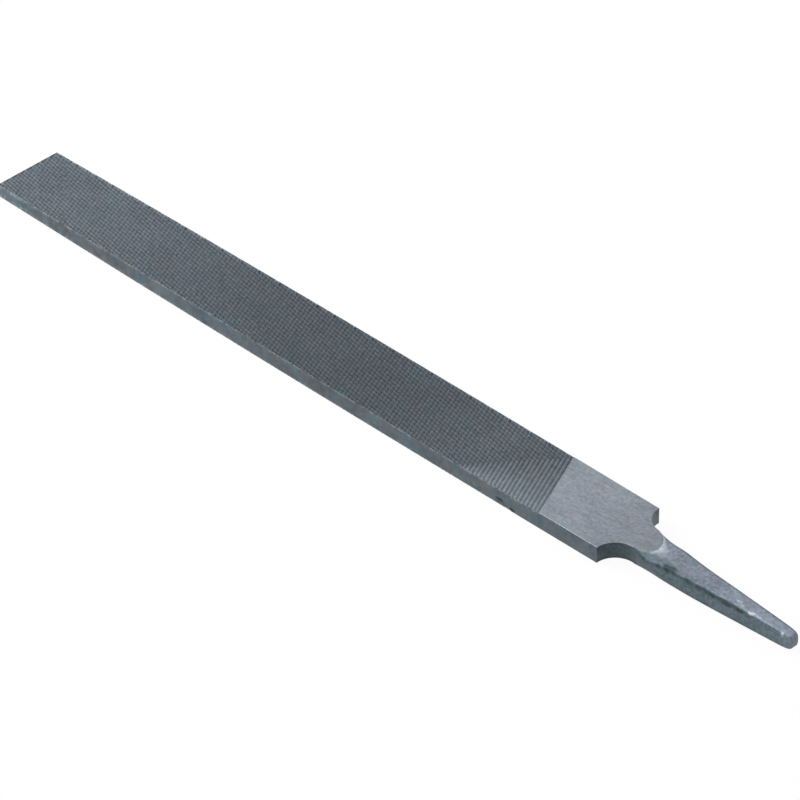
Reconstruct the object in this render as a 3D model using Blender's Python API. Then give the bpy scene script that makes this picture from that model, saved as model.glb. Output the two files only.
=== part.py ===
"""Flat hand file: blade and tang forged in one piece, double-cut teeth on both faces, plain edges.

Metres, +Z up. The file lies on its lower face, with its point at -X and its tang at +X, and its
origin is the bottom centre of its box. While it is built, x is counted from the shoulder, where
the blade ends, and z from the middle of the thickness.
"""

import math

import bmesh
import bpy
from mathutils import Vector

# Blade. Distances along it are counted from the shoulder towards the point.
BLADE_LENGTH = 0.152
BELLY_WIDTH = 0.01576
BELLY_DISTANCE = 0.0475
POINT_WIDTH = 0.0145
THICKNESS = 0.0034
TAPER_DISTANCE = 0.060
POINT_THICKNESS = 0.0027
SIDE_STEP_LENGTH = 0.008

# Teeth. An angle is how far the rows lean from square across the blade. A spacing is measured
# square to the rows, and a start from the shoulder along the middle of the blade.
UPCUT_ANGLE = math.radians(23.5)
UPCUT_SPACING = 0.0013
UPCUT_START = 0.0169
OVERCUT_ANGLE = math.radians(-40.5)
OVERCUT_SPACING = 0.0013
OVERCUT_START = 0.0270
TOOTH_HEIGHT = 0.0003
# The highest crests stand this far under the ground face of the heel.
CREST_DROP = 0.00003
# Each tooth leans towards the point: its crest stands this share of a spacing from that side.
CREST_SHARE = 0.3
# The first overcut runs out up the ridges this many spacings before its own line.
FIRST_TEETH = -0.5
# A tooth that the edge of the blade cuts down to less than this share is left flat.
SMALLEST_TOOTH = 0.15

# Shoulder, and the ground flat that runs out on the neck of the tang in a round end.
NECK_WIDTH = 0.0066
SHOULDER_LAND = 0.0003
SHOULDER_STEPS = 8
RUNOUT_LENGTH = 0.0034
RUNOUT_STEPS = 12
STEP_LENGTH = 0.0005
STEP_DEPTH = 0.0002

# Tang. It is forged a little to one side, so each of its widths has a middle of its own.
TANG_LENGTH = 0.0396
ROOT_WIDTH = 0.0063
ROOT_MIDDLE = -0.00015
KNEE_DISTANCE = 0.0175
KNEE_WIDTH = 0.0049
KNEE_MIDDLE = -0.0009
TIP_WIDTH = 0.0021
TIP_MIDDLE = -0.00122
TIP_THICKNESS = 0.0028
TIP_STEPS = 6

# The steel's linear colour, roughness and metallic value.
STEEL_COLOR = (0.135, 0.158, 0.182, 1.0)
STEEL_ROUGHNESS = 0.42
STEEL_METALLIC = 0.9

# Places that follow from the sizes above.
SHOULDER_X = (BLADE_LENGTH - TANG_LENGTH) / 2
FACE_Z = THICKNESS / 2
HEEL_LINE = -UPCUT_START * math.cos(UPCUT_ANGLE)
FIRST_VALLEY = HEEL_LINE - CREST_SHARE * UPCUT_SPACING
FIRST_CREST = FIRST_VALLEY - (1 - CREST_SHARE) * UPCUT_SPACING
CROSS_LINE = -OVERCUT_START * math.cos(OVERCUT_ANGLE)
CELL_AREA = UPCUT_SPACING * OVERCUT_SPACING / math.sin(UPCUT_ANGLE - OVERCUT_ANGLE)

TOUCH = 1e-6
OTHER, FLAT, RIDGES, TEETH = range(4)


def clear_scene():
    for obj in list(bpy.data.objects):
        bpy.data.objects.remove(obj, do_unlink=True)


def half_width(x):
    """Half the blade's width, on a shallow curve that is widest at the belly."""
    bow = (BELLY_WIDTH - POINT_WIDTH) / (BLADE_LENGTH - BELLY_DISTANCE) ** 2
    return (BELLY_WIDTH - bow * (x + BELLY_DISTANCE) ** 2) / 2


def thinned(x):
    """The share of the thickness left at x, on a curve that falls away towards the point."""
    past = max(0.0, -x - TAPER_DISTANCE) / (BLADE_LENGTH - TAPER_DISTANCE)
    return 1 - (1 - POINT_THICKNESS / THICKNESS) * past**2


def shoulder_radius():
    return half_width(0.0) - SHOULDER_LAND - NECK_WIDTH / 2


def arc(centre, radii, start, end, steps):
    """Points along an elliptical arc with both its ends, from start to end degrees."""
    points = []
    for step in range(steps + 1):
        angle = math.radians(start + (end - start) * step / steps)
        x = centre[0] + radii[0] * math.cos(angle)
        y = centre[1] + radii[1] * math.sin(angle)
        points.append((x, y))
    return points


def blade_side(side):
    """One long edge of the blade from the point, and the hollow corner from it to the neck."""
    steps = round(BLADE_LENGTH / SIDE_STEP_LENGTH)
    stations = [-BLADE_LENGTH * (1 - step / steps) for step in range(steps + 1)]
    radius = shoulder_radius()
    centre = (radius, side * (NECK_WIDTH / 2 + radius))
    corner = arc(centre, (radius, radius), 180, 180 + side * 90, SHOULDER_STEPS)
    return [(x, side * half_width(x)) for x in stations] + corner


def runout(distance):
    """The round end of the ground flat, from front to back, moved this distance down the tang."""
    centre = (shoulder_radius() + STEP_LENGTH + distance, ROOT_MIDDLE)
    return arc(centre, (RUNOUT_LENGTH, ROOT_WIDTH / 2), -90, 90, RUNOUT_STEPS)


def tang_outline():
    """The tang from the knee's front corner, round its tip, to the knee's back corner."""
    radius = TIP_WIDTH / 2
    tip = arc((TANG_LENGTH - radius, TIP_MIDDLE), (radius, radius), -90, 90, TIP_STEPS)
    front = (KNEE_DISTANCE, KNEE_MIDDLE - KNEE_WIDTH / 2)
    back = (KNEE_DISTANCE, KNEE_MIDDLE + KNEE_WIDTH / 2)
    return [front] + tip + [back]


def forge_blank(bm):
    """The plan of the ground flat, the step at its end and the tang, extruded to the thickness."""
    lowered = bm.verts.layers.int.new("lowered")

    def corners(points):
        return [bm.verts.new((x, y, -FACE_Z)) for x, y in points]

    front = corners(blade_side(-1))
    back = corners(blade_side(1))
    flat_end = corners(runout(0.0))
    step_end = corners(runout(STEP_LENGTH))
    tang = corners(tang_outline())
    for vert in step_end + tang:
        vert[lowered] = 1

    plan = [bm.faces.new(front + flat_end + back[::-1])]
    plan.append(bm.faces.new(tang + step_end[::-1]))
    for near, far, next_far, next_near in zip(flat_end, step_end, step_end[1:], flat_end[1:]):
        plan.append(bm.faces.new((near, far, next_far, next_near)))
    made = bmesh.ops.extrude_face_region(bm, geom=plan)["geom"]
    upper = [item for item in made if isinstance(item, bmesh.types.BMVert)]
    bmesh.ops.translate(bm, verts=upper, vec=(0, 0, THICKNESS))
    bmesh.ops.recalc_face_normals(bm, faces=bm.faces)

    root_z = FACE_Z - STEP_DEPTH
    root_x = shoulder_radius() + STEP_LENGTH
    for vert in bm.verts:
        if vert[lowered]:
            share = (vert.co.x - root_x) / (TANG_LENGTH - root_x)
            height = root_z + (TIP_THICKNESS / 2 - root_z) * share
            vert.co.z = math.copysign(height, vert.co.z)


def across(angle, side):
    """The direction square to the rows that lean by angle, on the upper (1) or lower (-1) face."""
    return Vector((math.cos(angle), side * math.sin(angle), 0))


def along(angle, side):
    """The direction of those rows themselves."""
    return Vector((-side * math.sin(angle), math.cos(angle), 0))


def faces_of(bm, *kinds):
    layer = bm.faces.layers.int["kind"]
    return [face for face in bm.faces if face[layer] in kinds]


def score(bm, kinds, angle, side, distance):
    """Scores one straight line across the faces of these kinds."""
    normal = across(angle, side)
    faces = faces_of(bm, *kinds)
    edges = {edge for face in faces for edge in face.edges}
    verts = {vert for face in faces for vert in face.verts}
    bmesh.ops.bisect_plane(
        bm, geom=[*verts, *edges, *faces], dist=TOUCH, plane_co=normal * distance, plane_no=normal
    )


def score_rows(bm, kinds, angle, side, first, spacing):
    """Scores lines from the first one towards the point, as far as the faces reach."""
    normal = across(angle, side)
    reach = min(normal.dot(vert.co) for face in faces_of(bm, *kinds) for vert in face.verts)
    for row in range(math.ceil((first - reach) / spacing)):
        score(bm, kinds, angle, side, first - row * spacing)


def mark_past(bm, kind, new_kind, angle, side, distance):
    """Gives the faces on the point's side of a line a new kind."""
    layer = bm.faces.layers.int["kind"]
    for face in faces_of(bm, kind):
        if across(angle, side).dot(face.calc_center_median()) < distance:
            face[layer] = new_kind


def sunk(point, side):
    """How deep the teeth's surface lies below the face at this point."""
    row = (FIRST_VALLEY - across(UPCUT_ANGLE, side).dot(point)) / UPCUT_SPACING % 1
    cross = (CROSS_LINE - across(OVERCUT_ANGLE, side).dot(point)) / OVERCUT_SPACING
    back = 1 - CREST_SHARE
    upcut = 1 - row / back if row < back else (row - back) / CREST_SHARE
    overcut = abs(1 - 2 * (cross % 1)) if cross > FIRST_TEETH else 0.0
    return CREST_DROP + TOOTH_HEIGHT * max(upcut, overcut)


def cut_teeth(bm, side):
    """Cuts one face: the first cut alone leaves ridges, and the second crosses it into teeth."""
    layer = bm.faces.layers.int["kind"]
    flat = max(bm.faces, key=lambda face: side * face.normal.z * face.calc_area())
    flat[layer] = FLAT
    score(bm, (FLAT,), UPCUT_ANGLE, side, HEEL_LINE)
    mark_past(bm, FLAT, RIDGES, UPCUT_ANGLE, side, HEEL_LINE)
    score(bm, (RIDGES,), OVERCUT_ANGLE, side, CROSS_LINE)
    mark_past(bm, RIDGES, TEETH, OVERCUT_ANGLE, side, CROSS_LINE)
    score_rows(bm, (RIDGES, TEETH), UPCUT_ANGLE, side, FIRST_VALLEY, UPCUT_SPACING)
    score_rows(bm, (TEETH,), OVERCUT_ANGLE, side, CROSS_LINE - OVERCUT_SPACING, OVERCUT_SPACING)
    score_rows(bm, (RIDGES,), UPCUT_ANGLE, side, FIRST_CREST, UPCUT_SPACING)
    score(bm, (RIDGES,), OVERCUT_ANGLE, side, CROSS_LINE - FIRST_TEETH * OVERCUT_SPACING)

    lean = along(OVERCUT_ANGLE, side) * (CREST_SHARE - 0.5) * UPCUT_SPACING
    lean /= along(OVERCUT_ANGLE, side).dot(across(UPCUT_ANGLE, side))
    cells = [face for face in faces_of(bm, TEETH) if face.calc_area() > SMALLEST_TOOTH * CELL_AREA]
    heel = {vert for face in faces_of(bm, FLAT) for vert in face.verts}
    for vert in {vert for face in faces_of(bm, RIDGES, TEETH) for vert in face.verts} - heel:
        vert.co.z = side * (FACE_Z - sunk(vert.co, side))
    for crest in bmesh.ops.poke(bm, faces=cells, center_mode="MEAN_WEIGHTED")["verts"]:
        area = sum(face.calc_area() for face in crest.link_faces)
        if area > (1 - SMALLEST_TOOTH) * CELL_AREA:
            crest.co += lean
        crest.co.z = side * (FACE_Z - sunk(crest.co, side))
    for face in bm.faces:
        face[layer] = OTHER


def steel():
    material = bpy.data.materials.new("hardened_steel")
    material.use_nodes = True
    shader = material.node_tree.nodes["Principled BSDF"]
    shader.inputs["Base Color"].default_value = STEEL_COLOR
    shader.inputs["Roughness"].default_value = STEEL_ROUGHNESS
    shader.inputs["Metallic"].default_value = STEEL_METALLIC
    material.diffuse_color = STEEL_COLOR
    return material


def make_file():
    bm = bmesh.new()
    bm.faces.layers.int.new("kind")
    forge_blank(bm)
    cut_teeth(bm, 1)
    cut_teeth(bm, -1)
    for vert in bm.verts:
        vert.co.z = FACE_Z + vert.co.z * thinned(vert.co.x)
        vert.co.x += SHOULDER_X
    mesh = bpy.data.meshes.new("file_body")
    bm.to_mesh(mesh)
    bm.free()
    mesh.materials.append(steel())
    body = bpy.data.objects.new("file_body", mesh)
    bpy.context.scene.collection.objects.link(body)


clear_scene()
make_file()
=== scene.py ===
"""A flat hand file, forged, ground and cut in one piece of steel, on a studio table."""

import math
from collections import namedtuple

import bmesh
import bpy
from bpy.props import FloatProperty, FloatVectorProperty, PointerProperty
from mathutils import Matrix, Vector, noise


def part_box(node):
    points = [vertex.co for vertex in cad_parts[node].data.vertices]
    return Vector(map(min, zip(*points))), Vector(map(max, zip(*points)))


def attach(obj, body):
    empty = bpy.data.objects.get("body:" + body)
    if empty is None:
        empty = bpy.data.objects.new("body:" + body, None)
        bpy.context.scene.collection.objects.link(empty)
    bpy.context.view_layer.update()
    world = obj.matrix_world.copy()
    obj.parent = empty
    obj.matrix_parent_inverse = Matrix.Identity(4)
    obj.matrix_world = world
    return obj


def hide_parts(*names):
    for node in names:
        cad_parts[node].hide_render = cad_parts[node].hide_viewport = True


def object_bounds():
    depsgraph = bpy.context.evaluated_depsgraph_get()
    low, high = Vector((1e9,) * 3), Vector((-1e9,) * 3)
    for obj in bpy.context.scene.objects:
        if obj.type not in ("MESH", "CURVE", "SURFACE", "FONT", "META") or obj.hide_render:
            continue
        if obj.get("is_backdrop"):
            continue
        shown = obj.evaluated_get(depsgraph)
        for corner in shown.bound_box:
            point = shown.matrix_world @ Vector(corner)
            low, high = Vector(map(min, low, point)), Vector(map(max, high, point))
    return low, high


bl_info = {
    "name": "Flat File",
    "version": (1, 0, 0),
    "blender": (4, 5, 0),
    "location": "3D View > Sidebar > Flat File",
    "description": "Forges, grinds and cuts a flat hand file, and lays it on a studio table",
    "category": "Add Mesh",
}

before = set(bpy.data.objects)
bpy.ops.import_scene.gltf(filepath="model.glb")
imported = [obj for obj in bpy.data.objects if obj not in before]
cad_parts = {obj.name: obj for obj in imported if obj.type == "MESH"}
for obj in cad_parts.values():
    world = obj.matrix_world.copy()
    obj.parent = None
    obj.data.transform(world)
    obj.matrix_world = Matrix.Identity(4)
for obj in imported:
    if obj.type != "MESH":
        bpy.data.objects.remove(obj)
CAD_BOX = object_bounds()
BODY_LOW, BODY_HIGH = (Vector(corner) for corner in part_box("file_body"))
THICKNESS = BODY_HIGH.z - BODY_LOW.z
MIDDLE_Z = (BODY_LOW.z + BODY_HIGH.z) / 2
POINT_X = BODY_LOW.x

PIECE = "file_steel"
TOOTHED, GROUND, EDGE, FORGED = range(4)
MM = 0.001
TOUCH = 1e-6
# The part of a face's normal that points along an axis. It is more than this for a face that looks
# along it, that is level, or that is dead flat, and less than this for a wall.
LOOKING, LEVEL, FLAT = 0.9, 0.99, 0.999
WALL = 0.3


# Sizes and colours.


def length(name, description, default):
    return FloatProperty(name=name, description=description, default=default, unit="LENGTH")


def angle(name, description, default):
    return FloatProperty(
        name=name, description=description, default=math.radians(default), unit="ROTATION"
    )


def share(name, description, default):
    return FloatProperty(
        name=name, description=description, default=default, min=0, max=1, subtype="FACTOR"
    )


def colour(name, description, default):
    return FloatVectorProperty(
        name=name, description=description, default=default, size=3, min=0, max=1, subtype="COLOR"
    )


class FlatFileBlade(bpy.types.PropertyGroup):
    blade_length: length("Blade Length", "From the point to the shoulder", 0.152)
    heel_width: length("Heel Width", "Width of the blade at the shoulder", 0.0155)
    belly_width: length("Belly Width", "Width of the blade where it is widest", 0.01576)
    belly_distance: length("Belly Distance", "From the shoulder to the widest place", 0.0475)
    point_width: length("Point Width", "Width of the blade at its point", 0.0145)
    taper_distance: length("Taper Distance", "From the shoulder to where the blade thins", 0.060)
    point_thickness: length("Point Thickness", "Thickness of the blade at its point", 0.0027)
    grind: length("Grinding Allowance", "What the wheel takes off each face", 0.0001)
    edge_break: length("Edge Break", "Width of the bevel along the ground faces", 0.00012)


class FlatFileTang(bpy.types.PropertyGroup):
    neck_width: length("Neck Width", "Width between the two shoulder hollows", 0.0066)
    neck_start: length("Neck Start", "From the shoulder to where the blade's flat sides end", 0.0032)
    shoulder_land: length("Shoulder Land", "Flat left at each corner of the shoulder", 0.0003)
    back_slope: share("Back Slope", "Height that is left at the back of the neck", 0.90)
    front_slope: share("Front Slope", "Height that is left at the upper front of the neck", 0.92)


class FlatFileTeeth(bpy.types.PropertyGroup):
    upcut_angle: angle("Upcut Angle", "How far the deep rows lean from square", 23.5)
    upcut_spacing: length("Upcut Spacing", "Between two deep rows, square to them", 0.0008)
    upcut_start: length("Upcut Start", "From the shoulder to the first deep row", 0.0169)
    overcut_angle: angle("Overcut Angle", "How far the crossing rows lean from square", -40.5)
    overcut_spacing: length("Overcut Spacing", "Between two crossing rows", 0.00081)
    overcut_start: length("Overcut Start", "From the shoulder to the first crossing row", 0.0270)
    height: length("Tooth Height", "From the deepest place between the teeth to a crest", 0.00034)
    crest_share: share("Crest Share", "Share of a row between its crest and its front", 0.3)
    upcut_share: share("Upcut Share", "Share of the depth that the deep rows take", 0.6)
    run_out: share("Run-out", "Depth of a row at the side of the blade, as a share of it all", 0.2)
    unevenness: share("Unevenness", "How much the depth varies from tooth to tooth", 0.12)


class FlatFileFinish(bpy.types.PropertyGroup):
    # Colours of the painted highlight on the tips of the teeth and of the painted shade in their
    # rows.
    crest: colour("Crests", "Bright tips of the teeth", (0.209, 0.242, 0.276))
    valley: colour("Valleys", "Dark bottoms of the rows", (0.036, 0.046, 0.058))
    ground: colour("Ground Steel", "Heel and the flat of the neck", (0.206, 0.231, 0.266))
    edge: colour("Blade Edges", "Both sides of the blade", (0.105, 0.128, 0.148))
    forged: colour("Forged Steel", "Upper and lower side of the tang", (0.177, 0.206, 0.252))
    # The scale colour also carries painted shade on the tang's sides and in its hollows.
    scale: colour("Forging Scale", "Dark skin in the hollows and on the tang", (0.098, 0.127, 0.148))
    # Colour of real stains and the burr line, also used for painted shade in the hollows and along
    # the tang.
    stain_and_shade: colour("Stain", "Marks and the burr line of the tang", (0.022, 0.040, 0.042))
    warm: colour("Warm Tint", "Brownish patches", (0.16, 0.148, 0.140))
    cool: colour("Cool Tint", "Blue-green patches", (0.07, 0.15, 0.19))
    # Colour of the painted highlights on broken edges, run-outs and around the neck's flat, and of
    # bright specks.
    shine: colour("Bare Steel", "Edges and small spots rubbed bright", (0.48, 0.53, 0.57))


GROUPS = {
    "blade": FlatFileBlade,
    "tang": FlatFileTang,
    "teeth": FlatFileTeeth,
    "finish": FlatFileFinish,
}


def settings(group):
    return getattr(bpy.context.scene, "flat_file_" + group)


def shoulder_x():
    return POINT_X + settings("blade").blade_length


# Work on a mesh.


def deselect_objects():
    if bpy.context.mode != "OBJECT":
        bpy.ops.object.mode_set(mode="OBJECT")
    bpy.ops.object.select_all(action="DESELECT")


def activate(obj):
    deselect_objects()
    obj.select_set(True)
    bpy.context.view_layer.objects.active = obj


def edit(obj, mode="FACE"):
    """Opens a mesh in edit mode with nothing selected."""
    activate(obj)
    bpy.ops.object.mode_set(mode="EDIT")
    bpy.ops.mesh.select_mode(type=mode)
    bpy.ops.mesh.select_all(action="DESELECT")


def select(obj, kind, test):
    """Selects the verts, edges or faces of the mesh in edit mode that pass a test."""
    mesh = bmesh.from_edit_mesh(obj.data)
    bpy.ops.mesh.select_all(action="DESELECT")
    for item in getattr(mesh, kind):
        if test(item):
            item.select = True
    mesh.select_flush_mode()
    bmesh.update_edit_mesh(obj.data)


def apply_modifier(obj, kind, **values):
    activate(obj)
    modifier = obj.modifiers.new(kind.title(), kind)
    for name, value in values.items():
        setattr(modifier, name, value)
    bpy.ops.object.modifier_apply(modifier=modifier.name)


def discard(obj):
    mesh = obj.data
    bpy.data.objects.remove(obj, do_unlink=True)
    bpy.data.meshes.remove(mesh)


def add_block(size, place):
    """A block of this size at this place, with its object left at the origin."""
    deselect_objects()
    bpy.ops.mesh.primitive_cube_add(size=1, location=place, scale=size)
    bpy.ops.object.transform_apply(location=True, rotation=True, scale=True)
    return bpy.context.object


# Forging. The lengths written here are in millimetres, and x counts from the shoulder.

Section = namedtuple("Section", "x width middle height flat set_back")

# Sections of the tang: distance from the shoulder, width, middle of the width, height, share of the
# width that is flat between the corners, and how far the upper front corner is set back.
TANG_SECTIONS = (
    Section(-3.0, 7.00, 0.00, 6.00, 0.90, 0.00),
    Section(2.6, 7.00, 0.00, 6.00, 0.90, 0.00),
    Section(3.4, 7.00, -0.02, 5.90, 0.88, 0.00),
    Section(4.2, 6.86, -0.06, 5.50, 0.78, 0.00),
    Section(5.0, 6.82, -0.12, 4.85, 0.73, 0.00),
    Section(5.8, 7.00, -0.22, 4.15, 0.71, 0.00),
    Section(7.2, 7.08, -0.36, 3.60, 0.71, 0.00),
    Section(8.6, 6.96, -0.42, 3.27, 0.74, 0.00),
    Section(11.0, 6.52, -0.53, 3.28, 0.84, 0.20),
    Section(12.4, 6.22, -0.63, 3.27, 0.86, 0.45),
    Section(14.0, 5.90, -0.73, 3.26, 0.88, 0.50),
    Section(15.8, 5.66, -0.83, 3.25, 0.88, 0.00),
    Section(16.9, 5.52, -0.89, 3.24, 0.88, 0.75),
    Section(18.3, 5.34, -0.93, 3.24, 0.88, 0.25),
    Section(20.0, 5.12, -0.96, 3.22, 0.88, 0.70),
    Section(22.5, 4.80, -0.99, 3.21, 0.88, 0.40),
    Section(25.0, 4.46, -1.02, 3.20, 0.87, 0.55),
    Section(33.0, 3.36, -1.09, 3.12, 0.84, 0.35),
    Section(37.2, 2.80, -1.16, 3.08, 0.80, 0.15),
    Section(38.8, 2.50, -1.18, 2.98, 0.76, 0.00),
    Section(39.6, 1.80, -1.18, 2.40, 0.70, 0.00),
)
BAR_LENGTH = 2
# Where the seam along the bar lies, and past which places a point is at the back or at the front.
SEAM_Y = -0.4
BACK_Y = 1
FRONT_Y = -1.6
# Where the neck's back and front are lowered, and how near a point must be to belong to a section.
NECK = (4, 9)
SECTION_REACH = 0.2
# Share of a section's size past which a point counts as one of its outer sides.
OUTER_SHARE = 0.45
ROUNDING_LEVELS = 3
WHEEL_SIDES = 96
WHEEL_HEIGHT = 20


def within(vert, start, end):
    """Whether a point lies between two distances from the shoulder."""
    return start * MM < vert.co.x - shoulder_x() < end * MM


def back(vert):
    return vert.co.y > BACK_Y * MM


def upper_front(vert):
    return vert.co.z > MIDDLE_Z and vert.co.y < FRONT_Y * MM


def on_end(vert, centre, axis, reach):
    """Whether a point of the tang's end lies at least this far out along an axis."""
    return vert.co.x > centre.x - TOUCH and abs(vert.co[axis] - centre[axis]) > reach


def select_end(tang):
    bpy.ops.mesh.select_mode(type="FACE")
    select(tang, "faces", lambda face: face.normal.x > LOOKING)


def runs_along(edge):
    """Whether an edge of the bar runs along it."""
    return abs((edge.verts[0].co - edge.verts[1].co).x) > BAR_LENGTH / 2 * MM


def start_bar(first):
    """A short bar inside the blade, with its long corners bevelled and a seam along it."""
    place = (shoulder_x() + (first.x - BAR_LENGTH / 2) * MM, first.middle * MM, MIDDLE_Z)
    bar = add_block((BAR_LENGTH * MM, first.width * MM, first.height * MM), place)
    edit(bar, "EDGE")
    select(bar, "edges", runs_along)
    bpy.ops.mesh.bevel(offset=(1 - first.flat) / 2 * first.width * MM, segments=1)
    bpy.ops.mesh.select_all(action="SELECT")
    bpy.ops.mesh.bisect(plane_co=(0, SEAM_Y * MM, 0), plane_no=(0, 1, 0))
    return bar


def draw_section(tang, before, after):
    """Draws the selected end of the tang out to its next section."""
    centre = Vector((shoulder_x() + after.x * MM, after.middle * MM, MIDDLE_Z))
    step = (after.x - before.x, after.middle - before.middle, 0)
    bpy.ops.mesh.extrude_region_move(
        TRANSFORM_OT_translate={"value": [distance * MM for distance in step]}
    )
    bpy.ops.transform.resize(
        value=(1, after.width / before.width, after.height / before.height), center_override=centre
    )
    bpy.ops.mesh.select_mode(type="VERT")
    flatter = after.flat / before.flat
    corners = ((2, after.height, (1, flatter, 1)), (1, after.width, (1, 1, flatter)))
    for axis, size, sharper in corners:
        reach = OUTER_SHARE * size * MM
        select(tang, "verts", lambda vert: on_end(vert, centre, axis, reach))
        bpy.ops.transform.resize(value=sharper, center_override=centre)
    select_end(tang)


def shape_neck(tang):
    """Lowers the neck at its back and at its upper front."""
    sizes = settings("tang")
    for slope, side in ((sizes.back_slope, back), (sizes.front_slope, upper_front)):
        select(tang, "verts", lambda vert: within(vert, *NECK) and side(vert))
        bpy.ops.transform.resize(value=(1, 1, slope), center_override=(0, 0, MIDDLE_Z))


def set_corner_back(tang):
    """Sets the upper front corner back at each section, which leaves it wavy."""
    for section in TANG_SECTIONS:
        start, end = section.x - SECTION_REACH, section.x + SECTION_REACH
        select(tang, "verts", lambda vert: within(vert, start, end) and upper_front(vert))
        bpy.ops.transform.translate(value=(0, section.set_back * MM, 0))


def forge_tang():
    """The tang, drawn out section by section from a bar that starts inside the blade."""
    tang = start_bar(TANG_SECTIONS[0])
    select_end(tang)
    for before, after in zip(TANG_SECTIONS, TANG_SECTIONS[1:]):
        draw_section(tang, before, after)
    bpy.ops.mesh.select_mode(type="VERT")
    shape_neck(tang)
    set_corner_back(tang)
    bpy.ops.object.mode_set(mode="OBJECT")
    apply_modifier(tang, "SUBSURF", levels=ROUNDING_LEVELS, render_levels=ROUNDING_LEVELS)
    return tang


def cut_hollow(blank, side, radius):
    """Cuts one hollow of the shoulder with a round wheel."""
    middle = side * (settings("tang").neck_width / 2 + radius)
    deselect_objects()
    bpy.ops.mesh.primitive_cylinder_add(
        vertices=WHEEL_SIDES,
        radius=radius,
        depth=WHEEL_HEIGHT * MM,
        location=(shoulder_x() + radius, middle, MIDDLE_Z),
    )
    wheel = bpy.context.object
    apply_modifier(blank, "BOOLEAN", operation="DIFFERENCE", object=wheel, solver="EXACT")
    discard(wheel)


def forge_blank():
    """Blade and tang as one piece, a little thicker than the finished file."""
    blade, neck = settings("blade"), settings("tang")
    tang = forge_tang()
    end = shoulder_x() + neck.neck_start
    size = (end - POINT_X, blade.heel_width, THICKNESS + 2 * blade.grind)
    blank = add_block(size, ((POINT_X + end) / 2, 0, MIDDLE_Z))
    blank.name = PIECE
    apply_modifier(blank, "BOOLEAN", operation="UNION", object=tang, solver="EXACT")
    discard(tang)
    radius = (blade.heel_width - neck.neck_width) / 2 - neck.shoulder_land
    for side in (-1, 1):
        cut_hollow(blank, side, radius)
    return blank


# Grinding.

SMOOTH_ANGLE = 30
BREAK_SEGMENTS = 2


def grind_faces(file):
    """Grinds both faces flat, which leaves the round end of the flat on the neck."""
    edit(file)
    for side, z in ((1, BODY_HIGH.z), (-1, BODY_LOW.z)):
        bpy.ops.mesh.select_all(action="SELECT")
        bpy.ops.mesh.bisect(
            plane_co=(0, 0, z),
            plane_no=(0, 0, side),
            use_fill=True,
            clear_outer=True,
            threshold=TOUCH,
        )
    bpy.ops.object.mode_set(mode="OBJECT")
    for vert in file.data.vertices:
        vert.co.z = min(max(vert.co.z, BODY_LOW.z), BODY_HIGH.z)


def sort_faces(file):
    """Tells the ground faces, the sides of the blade and the forged tang apart."""
    for face in file.data.polygons:
        level = abs(face.center.z - MIDDLE_Z) > THICKNESS / 2 - TOUCH
        if level and abs(face.normal.z) > LEVEL:
            face.material_index = GROUND
        else:
            face.material_index = EDGE if face.center.x < shoulder_x() + TOUCH else FORGED


def heel_edge(edge):
    """Whether an edge lies between ground steel and a wall that stands square to it."""
    walls = [face for face in edge.link_faces if face.material_index != GROUND]
    return len(walls) == 1 and len(edge.link_faces) == 2 and abs(walls[0].normal.z) < WALL


def ease_edges(file):
    """Takes the sharpness off the edges of the heel and of the hollows."""
    edit(file, "EDGE")
    select(file, "edges", heel_edge)
    bpy.ops.mesh.bevel(offset=settings("blade").edge_break, segments=BREAK_SEGMENTS)
    bpy.ops.object.mode_set(mode="OBJECT")


def smooth(file):
    """Smooths the rounded steel, and leaves the ground faces flat."""
    activate(file)
    bpy.ops.object.shade_smooth_by_angle(angle=math.radians(SMOOTH_ANGLE))
    edit(file)
    select(file, "faces", lambda face: face.material_index == GROUND and abs(face.normal.z) > FLAT)
    bpy.ops.mesh.faces_shade_flat()
    bpy.ops.object.mode_set(mode="OBJECT")


# Cutting the teeth. A row's place is its distance from the middle of the shoulder, square to it.

# How finely the depth varies from tooth to tooth.
UNEVEN_SCALE = 900
# Share of the painted shade that a crossing row turns over, from a tip to the place before it.
NOTCH_SHADE = 0.66
# Share of the painted shade that the rows take. The rest is painted shade on all double-cut teeth.
SHADE_SPAN = 0.74
# Faces with no edge longer than this are parts of single teeth.
SMALL_FACE = 0.001


def across(angle, side):
    """The direction square to rows that lean by angle, on the upper (1) or lower (-1) face."""
    return Vector((math.cos(angle), side * math.sin(angle), 0))


class Rows:
    """Where the rows of both cuts lie."""

    def __init__(self):
        teeth = settings("teeth")
        self.upcut, self.overcut = teeth.upcut_angle, teeth.overcut_angle
        self.heel = -teeth.upcut_start * math.cos(self.upcut)
        self.valley = self.heel - teeth.crest_share * teeth.upcut_spacing
        self.crest = self.valley - (1 - teeth.crest_share) * teeth.upcut_spacing
        self.groove = -teeth.overcut_start * math.cos(self.overcut)
        self.ridge = self.groove - teeth.overcut_spacing / 2
        self.begin = self.groove + teeth.overcut_spacing / 2


def cut_line(angle, side, distance):
    """Cuts the selected faces along one row."""
    normal = across(angle, side)
    place = Vector((shoulder_x(), 0, 0)) + normal * distance
    bpy.ops.mesh.bisect(plane_co=place, plane_no=normal, threshold=TOUCH)


def cut_rows(angle, side, first, spacing):
    """Cuts rows from the first one to the far corner of the point."""
    blade = settings("blade")
    corner = Vector((-blade.blade_length, -math.copysign(blade.heel_width / 2, side * angle)))
    reach = corner.dot(across(angle, side).xy)
    for row in range(math.ceil((first - reach) / spacing)):
        bpy.ops.mesh.select_all(action="SELECT")
        cut_line(angle, side, first - row * spacing)


def on_face(face, side):
    """Whether a face of the mesh lies in the ground plane on this side."""
    z = BODY_HIGH.z if side > 0 else BODY_LOW.z
    return side * face.normal.z > LEVEL and abs(face.calc_center_median().z - z) < TOUCH


def past(face, direction, distance):
    """Whether a face lies on the point's side of a row."""
    place = face.calc_center_median() - Vector((shoulder_x(), 0, 0))
    return direction.dot(place) < distance


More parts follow.
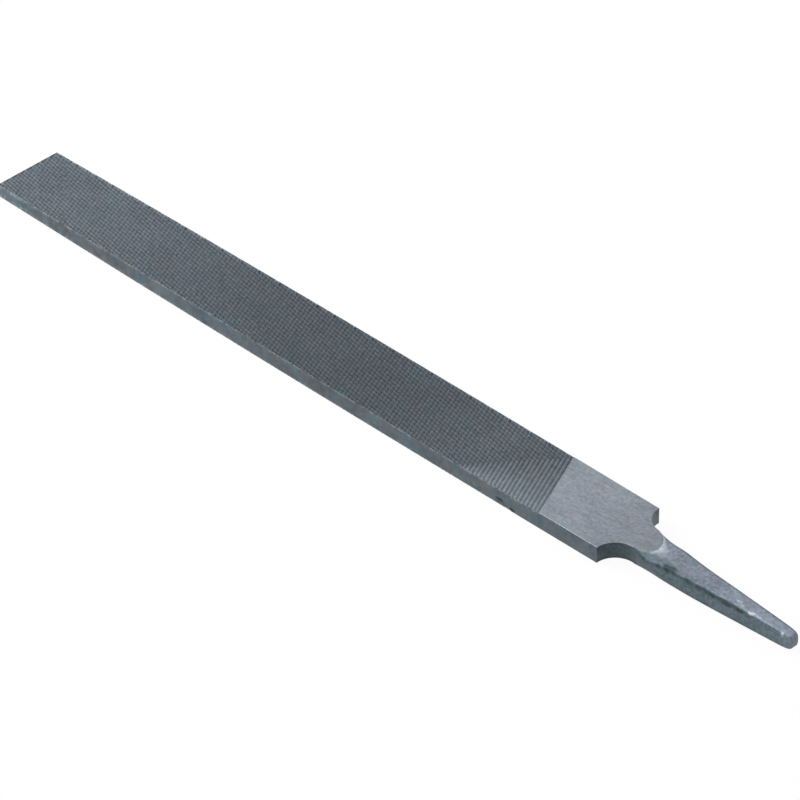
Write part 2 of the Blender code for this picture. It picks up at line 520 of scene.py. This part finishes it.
def mark_heel(file, side):
    """Cuts the line where the plain heel ends, and marks what lies past it for the teeth."""
    rows = Rows()
    edit(file)
    select(file, "faces", lambda face: on_face(face, side))
    cut_line(rows.upcut, side, rows.heel)
    deep = across(rows.upcut, side)
    select(file, "faces", lambda face: on_face(face, side) and past(face, deep, rows.heel))
    for face in bmesh.from_edit_mesh(file.data).faces:
        if face.select:
            face.material_index = TOOTHED
    bpy.ops.object.mode_set(mode="OBJECT")


def cut_face(file, side):
    """Cuts the rows of one face: the deep rows first, and then the rows that cross them."""
    teeth, rows = settings("teeth"), Rows()
    crossing = across(rows.overcut, side)
    edit(file)
    select(
        file,
        "faces",
        lambda face: face.material_index == TOOTHED and side * face.normal.z > LOOKING,
    )
    bpy.ops.mesh.hide(unselected=True)
    bpy.ops.mesh.select_all(action="SELECT")
    cut_line(rows.overcut, side, rows.begin)
    cut_rows(rows.upcut, side, rows.valley, teeth.upcut_spacing)
    cut_rows(rows.upcut, side, rows.crest, teeth.upcut_spacing)
    select(file, "faces", lambda face: not face.hide and past(face, crossing, rows.begin))
    bpy.ops.mesh.hide(unselected=True)
    cut_rows(rows.overcut, side, rows.groove, teeth.overcut_spacing)
    cut_rows(rows.overcut, side, rows.ridge, teeth.overcut_spacing)
    bpy.ops.mesh.reveal(select=False)
    bpy.ops.object.mode_set(mode="OBJECT")


def place_in_rows(rows, place, side):
    """How far a point lies from a crest and from a ridge, and whether the crossing rows reach it.

    Both distances are 0 on the crest or ridge and 1 in the bottom beside it. The second is 0 where
    the crossing rows do not reach.
    """
    teeth = settings("teeth")
    row = (rows.valley - across(rows.upcut, side).dot(place)) / teeth.upcut_spacing % 1
    cross = (rows.groove - across(rows.overcut, side).dot(place)) / teeth.overcut_spacing
    back = 1 - teeth.crest_share
    deep = 1 - row / back if row < back else (row - back) / teeth.crest_share
    crossed = cross > -0.5 - TOUCH
    crossing = abs(1 - 2 * (cross % 1)) if crossed else 0
    return deep, crossing, crossed


def tooth_depth(place, deep, crossing):
    """How deep a point of a cut face lies, as a share of the tooth height."""
    teeth = settings("teeth")
    depth = teeth.upcut_share * deep + (1 - teeth.upcut_share) * crossing
    uneven = teeth.unevenness * (0.5 + 0.5 * noise.noise(place * UNEVEN_SCALE))
    return depth * (1 - uneven) + uneven


def tooth_shade(deep, crossing, crossed):
    """Painted shade of a point: a painted highlight on a tip, dark in front of it, between in a
    groove.
    """
    shade = deep + NOTCH_SHADE * crossing * (1 - 2 * deep)
    return SHADE_SPAN * shade + (1 - SHADE_SPAN if crossed else 0)


def points_of(mesh, kind):
    """The points that the faces of one kind of steel use."""
    faces = (face for face in mesh.polygons if face.material_index == kind)
    return {point for face in faces for point in face.vertices}


def sink_teeth(file):
    """Sinks the rows of both faces, and keeps each point's painted shade for the finish to read."""
    rows, shoulder, teeth = Rows(), Vector((shoulder_x(), 0, 0)), settings("teeth")
    mesh = file.data
    cut = points_of(mesh, TOOTHED) - points_of(mesh, GROUND)
    outer = points_of(mesh, EDGE)
    shades = [0.0] * len(mesh.vertices)
    for side, name in ((1, "upper"), (-1, "lower")):
        group = file.vertex_groups.new(name=name)
        for index in cut:
            place = mesh.vertices[index].co
            if side * (place.z - MIDDLE_Z) > 0:
                deep, crossing, crossed = place_in_rows(rows, place - shoulder, side)
                shades[index] = tooth_shade(deep, crossing, crossed)
                depth = tooth_depth(place, deep, crossing) * (teeth.run_out if index in outer else 1)
                group.add([index], depth, "REPLACE")
        strength = -side * teeth.height
        apply_modifier(
            file, "DISPLACE", direction="Z", mid_level=0, strength=strength, vertex_group=name
        )
        mesh = file.data
    file.vertex_groups.clear()
    mesh.attributes.new("tooth_shade", "FLOAT", "POINT").data.foreach_set("value", shades)


def unsplit(face, small):
    """Whether a cut face has more than three corners and is small, or else is long."""
    if face.material_index != TOOTHED or len(face.verts) == 3:
        return False
    return (max(edge.calc_length() for edge in face.edges) < SMALL_FACE) == small


def split_teeth(file):
    """Splits the cut faces across diagonals chosen by length, so that all teeth come out alike."""
    edit(file)
    for small, diagonal in ((True, "SHORTEST_DIAGONAL"), (False, "LONGEST_DIAGONAL")):
        select(file, "faces", lambda face: unsplit(face, small))
        bpy.ops.mesh.quads_convert_to_tris(quad_method=diagonal, ngon_method="BEAUTY")
    bpy.ops.object.mode_set(mode="OBJECT")


# Drawing out the blade.

# Places along the blade at which its width and thickness are set.
STATIONS = 20


def cut_stations(file):
    """Cuts the edges of the blade at each station, so that they can bend there."""
    step = settings("blade").blade_length / (STATIONS - 1)
    edit(file)
    for station in range(1, STATIONS):
        select(file, "faces", lambda face: face.material_index == EDGE)
        bpy.ops.mesh.bisect(
            plane_co=(POINT_X + station * step, 0, 0), plane_no=(1, 0, 0), threshold=TOUCH
        )
    bpy.ops.object.mode_set(mode="OBJECT")


def width_at(distance):
    """Width of the blade at a distance from the shoulder, on a shallow curve."""
    blade = settings("blade")
    bow = (blade.belly_width - blade.point_width) / (blade.blade_length - blade.belly_distance) ** 2
    return blade.belly_width - bow * (distance - blade.belly_distance) ** 2


def thickness_left(distance):
    """Share of the thickness that is left at a distance from the shoulder."""
    blade = settings("blade")
    past_taper = max(0, distance - blade.taper_distance)
    along = past_taper / (blade.blade_length - blade.taper_distance)
    return 1 - (1 - blade.point_thickness / THICKNESS) * along**2


def draw_out(file):
    """Widens the blade at its belly and thins it towards the point."""
    blade = settings("blade")
    deselect_objects()
    bpy.ops.object.add(type="LATTICE", location=(POINT_X + blade.blade_length / 2, 0, MIDDLE_Z))
    cage = bpy.context.object
    grid = cage.data
    grid.points_u = STATIONS
    for axis in "uvw":
        setattr(grid, "interpolation_type_" + axis, "KEY_LINEAR")
    size = (blade.blade_length, blade.heel_width, THICKNESS)
    span = Vector(grid.points[-1].co) - Vector(grid.points[0].co)
    cage.scale = [whole / part for whole, part in zip(size, span)]
    bpy.context.view_layer.update()
    for point in grid.points:
        distance = blade.blade_length / 2 - point.co.x * cage.scale.x
        if distance > TOUCH:
            point.co_deform.y *= width_at(distance) / blade.heel_width
            point.co_deform.z *= thickness_left(distance)
    apply_modifier(file, "LATTICE", object=cage)
    bpy.data.objects.remove(cage, do_unlink=True)
    bpy.data.lattices.remove(grid)


# The finish of the steel. Places are in millimetres: X from the shoulder, + towards the tang, Y from
# the middle, - at the front, and Z from half the thickness, + up.

METAL = 0.75
# Roughness of each steel, in its smoothest and in its roughest places.
TOOTH_ROUGHNESS = (0.42, 0.65)
GROUND_ROUGHNESS = (0.36, 0.50)
EDGE_ROUGHNESS = (0.45, 0.60)
FORGED_ROUGHNESS = (0.42, 0.56)
# Depth of the fine unevenness of each steel, in metres.
TOOTH_GRIT = 0.00001
GRINDING_DEPTH = 0.000004
EDGE_GRIT = 0.000012
FORGED_GRIT = 0.00003
# Strength of the painted highlight along the broken edges of the ground faces.
EDGE_HIGHLIGHT = 0.3
# Where a band of painted shade darkens the rows along the middle of the blade, and how much.
SHADE_BAND_RISE = (-130, -72)
SHADE_BAND_FALL = (-52, -30)
SHADE_BAND = 0.25
# Marks on the front edge of the blade: where they lie and how far they reach.
EDGE_MARKS = (
    ((-23.0, -7.8, -0.5), (1.00, 1.0, 0.38)),
    ((-20.0, -7.8, -1.2), (0.75, 1.0, 0.32)),
)
# Bright specks on the tang.
SPECKS = (
    ((26.9, -1.25, 1.5), (0.75, 0.33, 1.0)),
    ((27.9, -1.70, 1.5), (0.60, 0.25, 1.0)),
    ((30.2, -2.20, 1.4), (0.80, 0.28, 1.0)),
    ((31.0, -1.85, 1.5), (0.65, 0.25, 1.0)),
    ((32.1, -1.95, 1.5), (0.65, 0.25, 1.0)),
    ((37.5, -2.40, 1.3), (0.35, 0.45, 0.5)),
)
# Blotches beside the burr line, and how dark they are.
BURR_MARKS = (
    ((10.2, -3.45, 1.15), (0.60, 0.60, 0.40)),
    ((12.0, -3.05, 1.30), (1.20, 0.60, 0.90)),
    ((13.2, -2.85, 1.30), (1.10, 0.55, 0.90)),
    ((22.3, -3.30, 1.10), (1.10, 1.20, 0.35)),
    ((25.4, -3.20, 0.95), (1.50, 1.20, 0.45)),
    ((28.2, -2.90, 1.05), (1.10, 1.20, 0.35)),
)
BURR_MARK_DARKNESS = 0.85


class Nodes:
    """Adds and joins the nodes of one material or group."""

    def __init__(self, tree):
        self.tree = tree

    def fill(self, node, inputs):
        """Joins or sets inputs of a node."""
        for name, value in dict(inputs).items():
            if isinstance(value, bpy.types.NodeSocket):
                self.tree.links.new(value, node.inputs[name])
            else:
                node.inputs[name].default_value = value
        return node

    def add(self, kind, inputs=(), **values):
        node = self.tree.nodes.new(kind if kind.startswith("Node") else "ShaderNode" + kind)
        for name, value in values.items():
            setattr(node, name, value)
        return self.fill(node, inputs)

    def group(self, name, inputs=()):
        node = self.add("Group", node_tree=bpy.data.node_groups[name])
        return self.fill(node, inputs).outputs

    def math(self, operation, first, second=0.0, third=0.0):
        return self.add("Math", {0: first, 1: second, 2: third}, operation=operation).outputs[0]

    def product(self, first, *rest):
        for value in rest:
            first = self.math("MULTIPLY", first, value)
        return first

    def largest(self, first, *rest):
        for value in rest:
            first = self.math("MAXIMUM", first, value)
        return first

    def rise(self, value, low, high, start=0.0, end=1.0):
        """Goes smoothly from start to end while the value goes from low to high."""
        inputs = {"Value": value, 1: low, 2: high, 3: start, 4: end}
        return self.add("MapRange", inputs, interpolation_type="SMOOTHSTEP").outputs[0]

    def line(self, value, low, high, start=0.0, end=1.0):
        """Goes straight from start to end while the value goes from low to high."""
        return self.add("MapRange", {"Value": value, 1: low, 2: high, 3: start, 4: end}).outputs[0]

    def mix(self, share, first, second, blend="MIX"):
        inputs = {0: share, 6: first, 7: second}
        return self.add("Mix", inputs, data_type="RGBA", blend_type=blend).outputs[2]

    def place(self, stretch=(1, 1, 1), turn=0.0):
        """The place on the piece, turned about the vertical and then stretched."""
        source = self.add("TexCoord").outputs["Object"]
        turned = self.add("Mapping", {"Vector": source, "Rotation": (0, 0, turn)}).outputs[0]
        return self.add("Mapping", {"Vector": turned, "Scale": stretch}).outputs[0]

    def axes(self):
        """The place on the piece in millimetres, counted along the file from its shoulder."""
        source = self.add("TexCoord").outputs["Object"]
        shift = (-shoulder_x() / MM, 0, -MIDDLE_Z / MM)
        moved = self.add("Mapping", {"Vector": source, "Location": shift, "Scale": (1 / MM,) * 3})
        return self.add("SeparateXYZ", {0: moved.outputs[0]}).outputs

    def facing_up(self):
        """How far the surface faces up: 1 on top, 0 on a side, -1 below."""
        return self.add("SeparateXYZ", {0: self.add("NewGeometry").outputs["Normal"]}).outputs["Z"]

    def noise(self, place, scale, detail=2.0, roughness=0.5):
        inputs = {"Vector": place, "Scale": scale, "Detail": detail, "Roughness": roughness}
        return self.add("TexNoise", inputs).outputs["Fac"]


def new_group(name, inputs, outputs):
    """An empty group with these sockets, and its input and output nodes."""
    tree = bpy.data.node_groups.new(name, "ShaderNodeTree")
    for socket, value in inputs.items():
        kind = "NodeSocketColor" if isinstance(value, tuple) else "NodeSocketFloat"
        item = tree.interface.new_socket(socket, in_out="INPUT", socket_type=kind)
        item.default_value = value
    for socket, kind in outputs.items():
        tree.interface.new_socket(socket, in_out="OUTPUT", socket_type="NodeSocket" + kind)
    nodes = Nodes(tree)
    return nodes, nodes.add("NodeGroupInput").outputs, nodes.add("NodeGroupOutput").inputs


def build_mottle():
    """Uneven light and dark in the steel, from broad clouds down to fine grit."""
    nodes, given, result = new_group(
        "mottle",
        {"Clouds": 0.1, "Cloud Scale": 140.0, "Grit": 0.1, "Grit Scale": 2500.0},
        {"Shade": "Float", "Height": "Float"},
    )
    place = nodes.place()
    clouds = nodes.math("SUBTRACT", nodes.noise(place, given["Cloud Scale"], 3.0), 0.5)
    grit = nodes.math("SUBTRACT", nodes.noise(place, given["Grit Scale"]), 0.5)
    shade = nodes.math("MULTIPLY_ADD", clouds, given["Clouds"], 1.0)
    shade = nodes.math("MULTIPLY_ADD", grit, given["Grit"], shade)
    nodes.tree.links.new(shade, result["Shade"])
    nodes.tree.links.new(grit, result["Height"])


def build_grinding():
    """Fine lines that grinding leaves along the file."""
    nodes, given, result = new_group(
        "grinding", {"Lines": 0.2}, {"Shade": "Float", "Height": "Float"}
    )
    fine = nodes.noise(nodes.place((300, 2200, 300), math.radians(-3)), 1.0, 3.0, 0.6)
    broad = nodes.noise(nodes.place((140, 800, 140), math.radians(-8)), 1.0, 2.0)
    lines = nodes.math("SUBTRACT", nodes.math("MULTIPLY_ADD", broad, 0.5, fine), 0.75)
    shade = nodes.math("MULTIPLY_ADD", lines, given["Lines"], 1.0)
    nodes.tree.links.new(shade, result["Shade"])
    nodes.tree.links.new(lines, result["Height"])


def build_tint():
    """Faint brown and blue-green patches of old oil."""
    finish = settings("finish")
    nodes, given, result = new_group(
        "oil_tint", {"Color": (0.5, 0.5, 0.5, 1), "Amount": 0.2}, {"Color": "Color"}
    )
    cool = nodes.rise(nodes.noise(nodes.place(), 240.0, 3.0), 0.42, 0.72)
    warm = nodes.rise(nodes.noise(nodes.place((1, 1, 1), 1.2), 300.0, 3.0), 0.44, 0.74)
    cool, warm = (nodes.product(spots, given["Amount"]) for spots in (cool, warm))
    shade = nodes.mix(cool, given["Color"], (*finish.cool, 1))
    nodes.tree.links.new(nodes.mix(warm, shade, (*finish.warm, 1)), result["Color"])


def tinted(nodes, base, amount):
    return nodes.group("oil_tint", {"Color": base, "Amount": amount})["Color"]


def spot(nodes, axes, centre, size):
    """A mask that is 1 within a small oval spot and 0 outside it."""
    parts = [
        nodes.math("POWER", nodes.math("DIVIDE", nodes.math("SUBTRACT", axis, middle), reach), 2.0)
        for axis, middle, reach in zip(axes, centre, size)
    ]
    distance = nodes.math("ADD", nodes.math("ADD", parts[0], parts[1]), parts[2])
    return nodes.rise(distance, 0.2, 1.4, 1.0, 0.0)


def new_material(name):
    material = bpy.data.materials.new(name)
    material.use_nodes = True
    return material, Nodes(material.node_tree)


def finish_steel(nodes, base, shades, roughness, bump):
    """Joins a finish: its colour and shades, its roughness, and the height and depth of its bump."""
    for shade in shades:
        grey = nodes.add("CombineColor", {0: shade, 1: shade, 2: shade}).outputs[0]
        base = nodes.mix(1.0, base, grey, "MULTIPLY")
    height, depth = bump
    normal = nodes.add("Bump", {"Height": height, "Distance": depth, "Strength": 1.0}).outputs[0]
    surface = {"Metallic": METAL, "Base Color": base, "Roughness": roughness, "Normal": normal}
    nodes.fill(nodes.tree.nodes["Principled BSDF"], surface)


def toothed_steel():
    """Painted highlights on crests over painted shade in the rows, darker along the blade's middle.
    """
    finish = settings("finish")
    material, nodes = new_material("toothed_steel")
    shade = nodes.add("Attribute", attribute_name="tooth_shade").outputs["Fac"]
    mottle = nodes.group("mottle", {"Clouds": 0.4, "Grit": 0.7, "Grit Scale": 1300.0})
    shade = nodes.math("SUBTRACT", shade, nodes.product(mottle["Height"], 0.25))
    base = tinted(nodes, nodes.mix(shade, (*finish.crest, 1), (*finish.valley, 1)), 0.12)
    x = nodes.axes()["X"]
    # Painted shade: the rows are darker in a band along the middle of the blade.
    shade_band = nodes.product(nodes.rise(x, *SHADE_BAND_RISE), nodes.rise(x, *SHADE_BAND_FALL, 1.0, 0.3))
    unshaded = nodes.math("MULTIPLY_ADD", shade_band, -SHADE_BAND, 1.0)
    roughness = nodes.rise(shade, 0.1, 0.9, *TOOTH_ROUGHNESS)
    finish_steel(nodes, base, [mottle["Shade"], unshaded], roughness, (mottle["Height"], TOOTH_GRIT))
    return material


def ground_steel():
    """A satin ground surface, with a painted highlight on its broken edges and duller towards the
    neck.
    """
    finish = settings("finish")
    material, nodes = new_material("ground_steel")
    mottle = nodes.group("mottle", {"Clouds": 0.35, "Grit": 0.8, "Grit Scale": 1700.0})
    grinding = nodes.group("grinding", {"Lines": 0.75})
    slope = nodes.math("SUBTRACT", 1.0, nodes.math("ABSOLUTE", nodes.facing_up()))
    # Painted highlight on the sloped faces of the broken edges.
    edge_highlight = nodes.product(nodes.rise(slope, 0.01, 0.1), EDGE_HIGHLIGHT)
    base = nodes.mix(edge_highlight, tinted(nodes, (*finish.ground, 1), 0.1), (*finish.shine, 1))
    axes = nodes.axes()
    neck = nodes.rise(axes["X"], -8, 6, 1.0, 0.81)
    front = nodes.rise(axes["Y"], -6.5, -1.0, 0.955, 1.0)
    shades = [mottle["Shade"], grinding["Shade"], neck, front]
    roughness = nodes.rise(grinding["Height"], -0.3, 0.3, *GROUND_ROUGHNESS)
    finish_steel(nodes, base, shades, roughness, (grinding["Height"], GRINDING_DEPTH))
    return material


def rim(nodes, axes):
    """Where the rows run out over the side: a broken line of painted highlight under each cut face.
    """
    blade, teeth = settings("blade"), settings("teeth")
    half, thin = THICKNESS / 2 / MM, blade.point_thickness / 2 / MM
    start, end = blade.taper_distance / MM, blade.blade_length / MM
    along = nodes.line(nodes.product(axes["X"], -1.0), start, end)
    drop = nodes.product(nodes.math("POWER", along, 2.0), half - thin)
    below = nodes.math("SUBTRACT", half, nodes.math("ADD", drop, nodes.math("ABSOLUTE", axes["Z"])))
    reach = nodes.rise(axes["X"], -148, -138, 1.3, 0.65)
    reach = nodes.product(reach, nodes.rise(axes["X"], 0.05 - end, 0.6 - end, 0.42, 1.0))
    line = nodes.rise(below, 0.15, reach, 1.0, 0.0)
    lean = nodes.product(nodes.math("SIGN", axes["Z"]), math.tan(teeth.upcut_angle))
    first = -teeth.upcut_start / MM
    row = nodes.math("MULTIPLY_ADD", axes["Y"], lean, axes["X"])
    cut = nodes.rise(row, first - 0.6, first, 1.0, 0.0)
    nicks = nodes.rise(nodes.noise(nodes.place(), 1700.0, 1.0), 0.40, 0.62, 0.0, 0.38)
    # Painted highlight: full on the upper face's rim, weaker on the lower one.
    brightness = nodes.rise(axes["Z"], -0.5, 0.5, 0.6, 1.0)
    return nodes.product(line, cut, nicks, brightness)


def edge_steel():
    """The plain sides of the blade, a little soiled."""
    finish = settings("finish")
    material, nodes = new_material("edge_steel")
    patches = {"Clouds": 1.0, "Cloud Scale": 260.0, "Grit": 1.0, "Grit Scale": 900.0}
    mottle = nodes.group("mottle", patches)
    grinding = nodes.group("grinding", {"Lines": 0.2})
    axes = nodes.axes()
    base = nodes.mix(rim(nodes, axes), tinted(nodes, (*finish.edge, 1), 0.45), (*finish.shine, 1))
    for centre, size in EDGE_MARKS:
        base = nodes.mix(spot(nodes, axes, centre, size), base, (*finish.stain_and_shade, 1))
    shades = [mottle["Shade"], grinding["Shade"], nodes.rise(axes["X"], -140, -70, 1.06, 0.965)]
    roughness = nodes.rise(mottle["Height"], -0.3, 0.3, *EDGE_ROUGHNESS)
    finish_steel(nodes, base, shades, roughness, (mottle["Height"], EDGE_GRIT))
    return material


def darkened_corner(nodes, axes):
    """Where the neck's upper front corner is painted darker, towards the scale colour."""
    start = nodes.rise(axes["X"], 3.4, 4.6)
    end = nodes.rise(axes["X"], 8.0, 26.0, 1.0, 0.0)
    return nodes.product(start, end, nodes.rise(axes["Y"], -2.6, -1.2, 0.9, 0.0))


def burr_line(nodes, axes):
    """The dark line along the tang's upper front corner, partly scale and partly painted shade, with
    its blotches.
    """
    x, tilt = axes["X"], nodes.facing_up()
    corner = nodes.product(nodes.rise(tilt, 0.1, 0.4), nodes.rise(tilt, 0.90, 0.985, 1.0, 0.0))
    front = nodes.rise(axes["Y"], -1.2, -0.8, 1.0, 0.0)
    front = nodes.product(front, nodes.rise(axes["Z"], 0.4, 0.9))
    start = nodes.product(nodes.rise(x, 5.0, 6.5), nodes.rise(x, 11.5, 13.5, 0.5, 1.0))
    mask = nodes.product(corner, front, start, nodes.rise(x, 26.0, 33.0, 0.72, 0.1))
    for centre, size in BURR_MARKS:
        mark = nodes.product(spot(nodes, axes, centre, size), BURR_MARK_DARKNESS)
        mask = nodes.largest(mask, mark)
    return mask


def darkened_edges(nodes, axes):
    """Painted shade along the back edge of the tang's upper side, and darker towards the foot of its
    front.
    """
    edge = nodes.line(axes["X"], 10.0, 37.0, 2.3, -0.05)
    back = nodes.rise(nodes.math("SUBTRACT", edge, axes["Y"]), 0.15, 0.6, 0.6, 0.0)
    back = nodes.product(back, nodes.rise(axes["X"], 7.0, 11.0))
    foot = nodes.rise(axes["Z"], -1.4, -0.7, 0.5, 0.0)
    broken = nodes.rise(nodes.noise(nodes.place(), 1100.0, 2.0), 0.35, 0.6, 0.3, 1.0)
    return nodes.product(nodes.largest(back, foot), broken)


def shining(nodes, axes):
    """Where the tang is bright: a painted highlight around the ground flat, and specks near its tip.
    """
    # Painted highlight along the edge of the ground flat on the neck.
    flat_edge = nodes.rise(nodes.math("ABSOLUTE", axes["Z"]), 1.55, 1.69, 0.0, 0.65)
    neck = nodes.rise(axes["X"], 9.0, 10.0, 1.0, 0.0)
    bright = nodes.product(flat_edge, neck, nodes.rise(axes["Y"], -3.0, -1.2, 0.3, 1.0))
    brightness = nodes.rise(nodes.noise(nodes.place(), 1500.0, 2.0), 0.35, 0.65, 0.15, 0.55)
    for centre, size in SPECKS:
        bright = nodes.largest(bright, nodes.product(spot(nodes, axes, centre, size), brightness))
    return bright


def forged_steel():
    """Forged steel under its scale; the sides darker and the hollows darkest, partly as painted
    shade.
    """
    finish = settings("finish")
    material, nodes = new_material("forged_steel")
    mottle = nodes.group("mottle", {"Clouds": 0.5, "Grit": 1.4, "Grit Scale": 1700.0})
    axes = nodes.axes()
    # Faces take the forged colour, sides the darker scale: partly scale, partly painted shade on the
    # sides.
    level = nodes.rise(nodes.math("ABSOLUTE", nodes.facing_up()), 0.5, 0.97)
    level = nodes.product(level, nodes.math("SUBTRACT", 1.0, darkened_corner(nodes, axes)))
    level = nodes.largest(level, nodes.rise(axes["X"], 36.0, 38.5, 0.0, 0.5))
    base = tinted(nodes, nodes.mix(level, (*finish.scale, 1), (*finish.forged, 1)), 0.25)
    # The hollows are darker: partly scale, partly painted shade, darkest next to the blade's corner
    # and at the front.
    hollow = nodes.product(
        nodes.rise(axes["X"], 0.5, 9.5, 0.60, 0.0),
        nodes.math("SUBTRACT", 1.0, level),
        nodes.rise(axes["Y"], -1.0, 1.0, 1.0, 0.0),
    )
    # Burr line, blotches and painted shade along the tang's edges, all in the stain colour.
    burr_and_dark_edges = nodes.largest(burr_line(nodes, axes), darkened_edges(nodes, axes))
    for darkening in (hollow, burr_and_dark_edges):
        base = nodes.mix(darkening, base, (*finish.stain_and_shade, 1))
    base = nodes.mix(shining(nodes, axes), base, (*finish.shine, 1))
    shades = [mottle["Shade"], nodes.rise(axes["X"], 16, 28, 1.0, 1.06)]
    roughness = nodes.rise(mottle["Height"], -0.3, 0.3, *FORGED_ROUGHNESS)
    finish_steel(nodes, base, shades, roughness, (mottle["Height"], FORGED_GRIT))
    return material


# The studio.

# Place, size and power of each lamp.
LAMPS = {
    "overhead_lamp": ((-0.8, 0.3, 1.6), 2.0, 7),
    "front_lamp": ((-0.5, -1.5, 1.2), 1.2, 6),
    "point_lamp": ((-0.42, -0.12, 0.32), 0.3, 2.6),
}
CAMERA_PLACE = (0.63187, -0.63075, 0.67469)
CAMERA_TURN = (math.radians(52.95), 0, math.radians(45))
CAMERA_LENS = 286.24
TABLE_SIZE = 40
TABLE_GAP = 0.00002
# Share of the table's look that is plain white. The rest takes the shadow.
WHITE_SHARE = 0.94
# Strength of the white surroundings as light. What is seen of them has strength 1.
WORLD_LIGHT = 0.5


def seen(nodes):
    """1 for what is seen, straight or mirrored, and 0 for what only gives light."""
    path = nodes.add("LightPath").outputs
    mirrored = nodes.largest(path["Is Glossy Ray"], path["Is Transmission Ray"])
    return nodes.largest(path["Is Camera Ray"], mirrored)


def table_top():
    """A pale table that looks white and still takes a shadow."""
    material, nodes = new_material("table_top")
    shader = nodes.fill(
        nodes.tree.nodes["Principled BSDF"], {"Base Color": (0.9, 0.9, 0.9, 1), "Roughness": 0.9}
    )
    white = nodes.add("Emission", {"Color": (1, 1, 1, 1), "Strength": 1.0}).outputs[0]
    share = nodes.product(seen(nodes), WHITE_SHARE)
    both = nodes.add("MixShader", {0: share, 1: shader.outputs[0], 2: white}).outputs[0]
    nodes.tree.links.new(both, nodes.tree.nodes["Material Output"].inputs["Surface"])
    return material


def add_table():
    deselect_objects()
    bpy.ops.mesh.primitive_plane_add(size=TABLE_SIZE, location=(0, 0, BODY_LOW.z - TABLE_GAP))
    table = bpy.context.object
    table.name = "table_top"
    table.data.materials.append(table_top())
    table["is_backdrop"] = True


def add_lamp(name, place, size, power):
    """A square lamp that faces the middle of the file."""
    deselect_objects()
    bpy.ops.object.light_add(type="AREA", location=place)
    lamp = bpy.context.object
    lamp.name = name
    lamp.data.size = size
    lamp.data.energy = power
    lamp.rotation_euler = (-Vector(place)).to_track_quat("-Z", "Y").to_euler()


def studio_world():
    """White surroundings that give less light than they show."""
    world = bpy.data.worlds.new("studio")
    world.use_nodes = True
    nodes = Nodes(world.node_tree)
    strength = nodes.math("MULTIPLY_ADD", seen(nodes), 1 - WORLD_LIGHT, WORLD_LIGHT)
    nodes.fill(world.node_tree.nodes["Background"], {"Color": (1, 1, 1, 1), "Strength": strength})
    return world


# The add-on.


class FLATFILE_OT_make_file(bpy.types.Operator):
    """Forges, grinds and cuts the file, and gives its steel a finish"""

    bl_idname = "flat_file.make_file"
    bl_label = "Make File"

    def execute(self, context):
        file = forge_blank()
        grind_faces(file)
        sort_faces(file)
        for side in (1, -1):
            mark_heel(file, side)
        ease_edges(file)
        for side in (1, -1):
            cut_face(file, side)
        sink_teeth(file)
        cut_stations(file)
        draw_out(file)
        smooth(file)
        split_teeth(file)
        for build in (build_mottle, build_grinding, build_tint):
            build()
        for make in (toothed_steel, ground_steel, edge_steel, forged_steel):
            file.data.materials.append(make())
        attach(file, "root")
        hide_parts("file_body")
        return {"FINISHED"}


class FLATFILE_OT_set_stage(bpy.types.Operator):
    """Sets the table, the lamps, the surroundings and the camera"""

    bl_idname = "flat_file.set_stage"
    bl_label = "Set Stage"

    def execute(self, context):
        add_table()
        for name, lamp in LAMPS.items():
            add_lamp(name, *lamp)
        bpy.ops.object.camera_add(location=CAMERA_PLACE, rotation=CAMERA_TURN)
        context.object.data.lens = CAMERA_LENS
        context.scene.camera = context.object
        context.scene.world = studio_world()
        context.scene.view_settings.view_transform = "Standard"
        return {"FINISHED"}


class FLATFILE_PT_panel(bpy.types.Panel):
    """Lists the sizes and colours of the file and what makes it"""

    bl_label = "Flat File"
    bl_idname = "FLATFILE_PT_panel"
    bl_space_type = "VIEW_3D"
    bl_region_type = "UI"
    bl_category = "Flat File"

    def draw(self, context):
        for group, kind in GROUPS.items():
            box = self.layout.box()
            box.label(text=group.title())
            for name in kind.__annotations__:
                box.prop(settings(group), name)
        for operator in (FLATFILE_OT_make_file, FLATFILE_OT_set_stage):
            self.layout.operator(operator.bl_idname)


CLASSES = (*GROUPS.values(), FLATFILE_OT_make_file, FLATFILE_OT_set_stage, FLATFILE_PT_panel)


def register():
    for kind in CLASSES:
        bpy.utils.register_class(kind)
    for group, kind in GROUPS.items():
        setattr(bpy.types.Scene, "flat_file_" + group, PointerProperty(type=kind))


def unregister():
    for group in GROUPS:
        delattr(bpy.types.Scene, "flat_file_" + group)
    for kind in reversed(CLASSES):
        bpy.utils.unregister_class(kind)


def main():
    register()
    bpy.ops.flat_file.make_file()
    bpy.ops.flat_file.set_stage()
    boxes = {"cad": CAD_BOX, "visual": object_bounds()}
    boxes = {name: [list(map(float, corner)) for corner in box] for name, box in boxes.items()}


if __name__ == "__main__":
    main()
